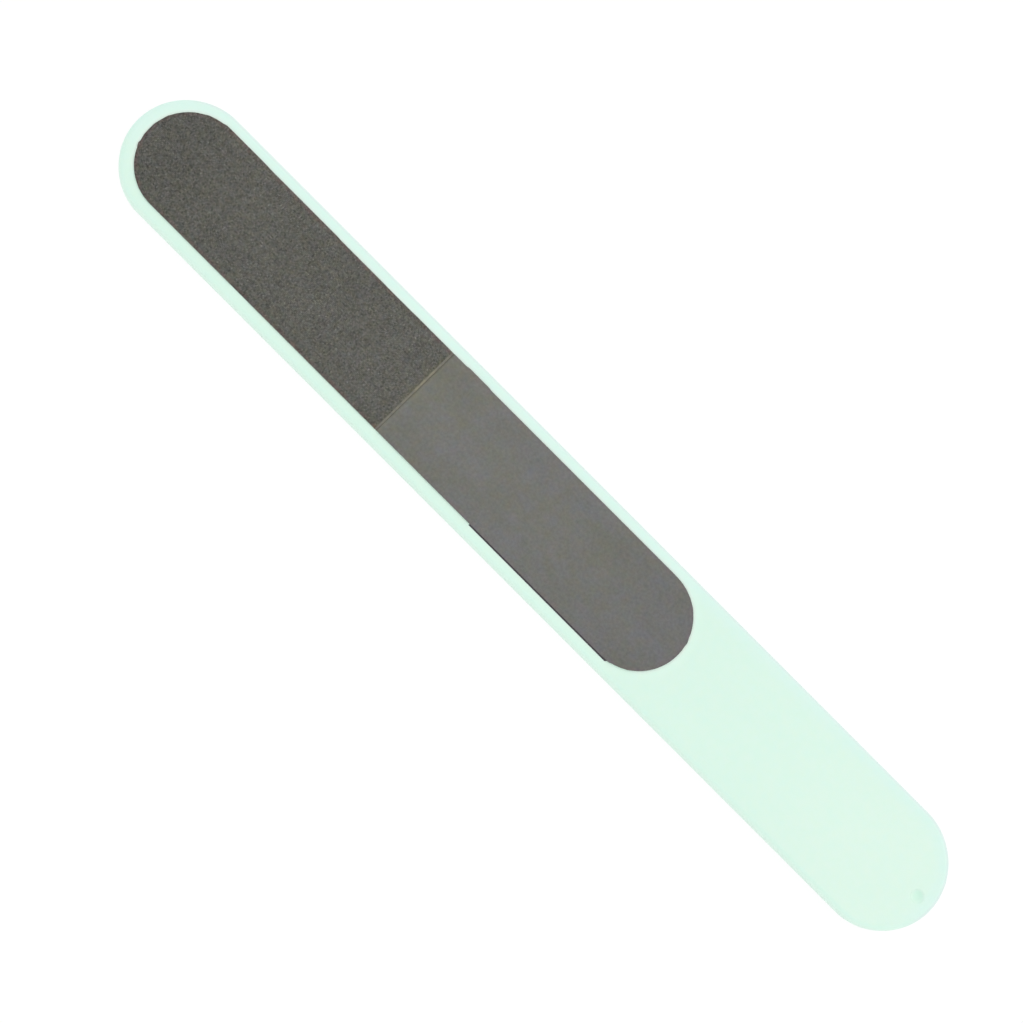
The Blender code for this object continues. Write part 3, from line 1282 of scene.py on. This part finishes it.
@dataclass
class AbrasiveSheet:
    """One grade's sheets on both faces: adhesive, backing paper and coat of grit."""

    grade: Grade
    middle_z: float
    burr: float = 0.09 * MM  # how far the coarse paper's cut edge is pressed into the gap

    def node(self, side: Side, layer: str) -> str:
        """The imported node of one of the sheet's layers."""
        return f"{side.value}_{self.grade.value}_{layer}"

    def turned_over(self, piece: Piece, name: str) -> Piece:
        """Copies a finished front layer, with its own mesh, and turns the copy onto the back.

        Args:
            piece: The front's layer.
            name: The copy's name.

        Returns:
            The back's layer.
        """
        alone(piece)
        bpy.ops.object.duplicate()
        copy = bpy.context.object
        copy.name = name
        copy.data.name = name
        bpy.ops.transform.rotate(
            value=math.pi, orient_axis="X", center_override=(0.0, 0.0, self.middle_z)
        )
        settle(copy)
        return copy

    def blank(self, layer: str) -> tuple[SheetPlan, float, float]:
        """The outline of one of the front sheet's layers, and its two heights."""
        node = self.node(Side.FRONT, layer)
        low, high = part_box(node)
        return SheetPlan.from_node(node, self.grade), low.z, high.z

    def paper(self) -> PaperLayer:
        """The backing paper for this grade."""
        paper = PaperLayer(*self.blank("backing"))
        if self.grade is Grade.COARSE:
            paper.plan = replace(paper.plan, seam_x=paper.plan.seam_x - self.burr)
        return paper

    def coat(self) -> GritCoat:
        """The coat of grit for this grade."""
        blank = self.blank("grit")
        if self.grade is Grade.COARSE:
            return GritCoat(
                *blank, spacing=0.23 * MM, bed=0.07 * MM, tooth=0.045 * MM,
                play=0.018 * MM, seam_bite=0.10 * MM, seed=5,
            )
        return GritCoat(
            *blank, spacing=0.13 * MM, bed=0.03 * MM, tooth=0.0,
            play=0.010 * MM, seam_bite=0.0, seed=8,
        )

    def build(self, paper: Material, adhesive: Material) -> None:
        """Builds the grade's sheets on both faces and dresses them.

        Args:
            paper: The backing's finish.
            adhesive: The adhesive's finish.
        """
        grade = self.grade.value
        backing = self.paper().build(f"front_{grade}_paper")
        backing.data.materials.append(paper)
        coat = self.coat()
        grains = coat.build(f"front_{grade}_grains")
        grains.data.materials.append(GRITS[self.grade].make(coat, self.middle_z))
        for layer, slot, front in (
            ("backing", "tan_backing_paper", backing),
            ("grit", f"{grade}_grit", grains),
        ):
            back = self.turned_over(front, front.name.replace("front", "back"))
            stand_in(front, self.node(Side.FRONT, layer))
            stand_in(back, self.node(Side.BACK, layer))
        for side in Side:
            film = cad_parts[self.node(side, "adhesive")]
            film.data.materials.clear()
            film.data.materials.append(adhesive)
            log.info("%s %s sheet laid", side.value, grade)


# The studio


@dataclass(frozen=True)
class Studio:
    """A plain pale floor, soft light and the camera."""

    floor_size: float = 4.0
    floor_colour: Colour = (0.84, 0.84, 0.84)
    shown_colour: Colour = (0.13, 0.13, 0.13)  # of the floor where it is seen, for its shadows
    shown_glow: Colour = (0.90, 0.90, 0.90)  # and what lifts it there to nearly white
    sky_level: float = 0.84
    low_level: float = 0.75  # how much brighter the sky is just over the floor
    key_level: float = 0.085  # of the light on a surface that faces up
    key_distance: float = 1.1
    key_height: float = math.radians(48)  # over the floor
    key_azimuth: float = math.radians(40)  # from -Y towards -X
    key_size: float = 0.7
    lens: float = 100.0
    sensor: float = 36.0
    distance: float = 0.4578
    tilt: float = math.radians(10.0)  # of the camera towards +Y
    roll: float = math.radians(45.034)
    aim_right: float = -3.713 * MM  # from the file's middle to the picture's
    aim_up: float = 0.464 * MM

    def lay_floor(self) -> None:
        """Lays the floor, which shows nearly white and keeps the file's shadow."""
        bpy.ops.object.select_all(action="DESELECT")
        bpy.ops.mesh.primitive_plane_add(size=self.floor_size, location=(0.0, 0.0, -TINY))
        floor = bpy.context.object
        floor.name = "floor"
        settle(floor)
        bench = FinishBench("studio_floor")
        seen = bench.seen()
        shade = bench.blend(seen, self.floor_colour, self.shown_colour)
        glow = bench.blend(seen, (0.0, 0.0, 0.0), self.shown_glow)
        bench.feed(bench.shader.inputs["Emission Color"], glow)
        finish = bench.dress(shade, 0.9, Emission_Strength=1.0, Specular_IOR_Level=0.0)
        floor.data.materials.append(finish)

    def hang_sky(self) -> None:
        """Lights the scene from all round, and shows white behind it."""
        world = bpy.data.worlds.new("sky")
        bpy.context.scene.world = world
        world.use_nodes = True
        bench = NodeBench(world.node_tree)
        towards = bench.node("ShaderNodeTexCoord").outputs["Generated"]
        height = bench.value("ShaderNodeSeparateXYZ", None, {0: towards}, "Z")
        low = (1 - height.most(0.0)) ** 3
        light = self.sky_level + self.low_level * low
        seen = bench.seen()
        backdrop = world.node_tree.nodes["Background"]
        bench.feed(backdrop.inputs["Color"], (1.0, 1.0, 1.0))
        bench.feed(backdrop.inputs["Strength"], seen + (1 - seen) * light)

    def hang_key(self) -> None:
        """Hangs the soft key light on the -Y side."""
        level = math.cos(self.key_height)
        towards = Vector((
            -level * math.sin(self.key_azimuth),
            -level * math.cos(self.key_azimuth),
            math.sin(self.key_height),
        ))
        lamp = bpy.data.lights.new("key", "AREA")
        lamp.size = self.key_size
        lamp.energy = self.key_level * (math.pi * self.key_distance) ** 2 / towards.z
        lamp.color = (1.0, 1.0, 1.0)
        key = bpy.data.objects.new("key", lamp)
        bpy.context.scene.collection.objects.link(key)
        key.location = self.key_distance * towards
        key.rotation_euler = towards.to_track_quat("Z", "Y").to_euler()

    def set_camera(self, middle: Vector) -> None:
        """Stands the camera at the photograph's angle.

        Args:
            middle: The middle of the file.
        """
        back = Vector((0.0, math.sin(self.tilt), math.cos(self.tilt)))
        along = Vector((1.0, 0.0, 0.0))
        across = back.cross(along)
        right = -math.cos(self.roll) * along - math.sin(self.roll) * across
        up = math.sin(self.roll) * along - math.cos(self.roll) * across
        aim = middle + self.aim_right * right + self.aim_up * up
        lens = bpy.data.cameras.new("camera")
        lens.lens = self.lens
        lens.sensor_width = self.sensor
        lens.clip_start, lens.clip_end = 0.01, 20.0
        camera = bpy.data.objects.new("camera", lens)
        bpy.context.scene.collection.objects.link(camera)
        turn = Matrix((right, up, back)).transposed().to_4x4()
        camera.matrix_world = Matrix.Translation(aim + self.distance * back) @ turn
        bpy.context.scene.camera = camera

    def build(self, middle: Vector) -> None:
        """Builds the studio round the file.

        Args:
            middle: The middle of the file.
        """
        self.lay_floor()
        self.hang_sky()
        self.hang_key()
        self.set_camera(middle)
        bpy.context.scene.view_settings.view_transform = "Standard"


def main() -> None:
    """Builds the paddle, the sheets and the studio, in order."""
    logging.basicConfig(level=logging.INFO, format="%(name)s: %(message)s")
    paddle = Paddle.from_node("paddle")
    paddle.build(MintPlastic(paddle).make())
    log.info("paddle moulded")
    middle_z = (paddle.low_z + paddle.high_z) / 2
    seam_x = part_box("front_coarse_adhesive")[0].x
    paper, adhesive = BackingPaper().make(), DarkAdhesive(seam_x).make()
    for grade in Grade:
        AbrasiveSheet(grade, middle_z).build(paper, adhesive)
    Studio().build(Vector((0.0, 0.0, middle_z)))
    log.info("studio set")


if __name__ == "__main__":
    main()
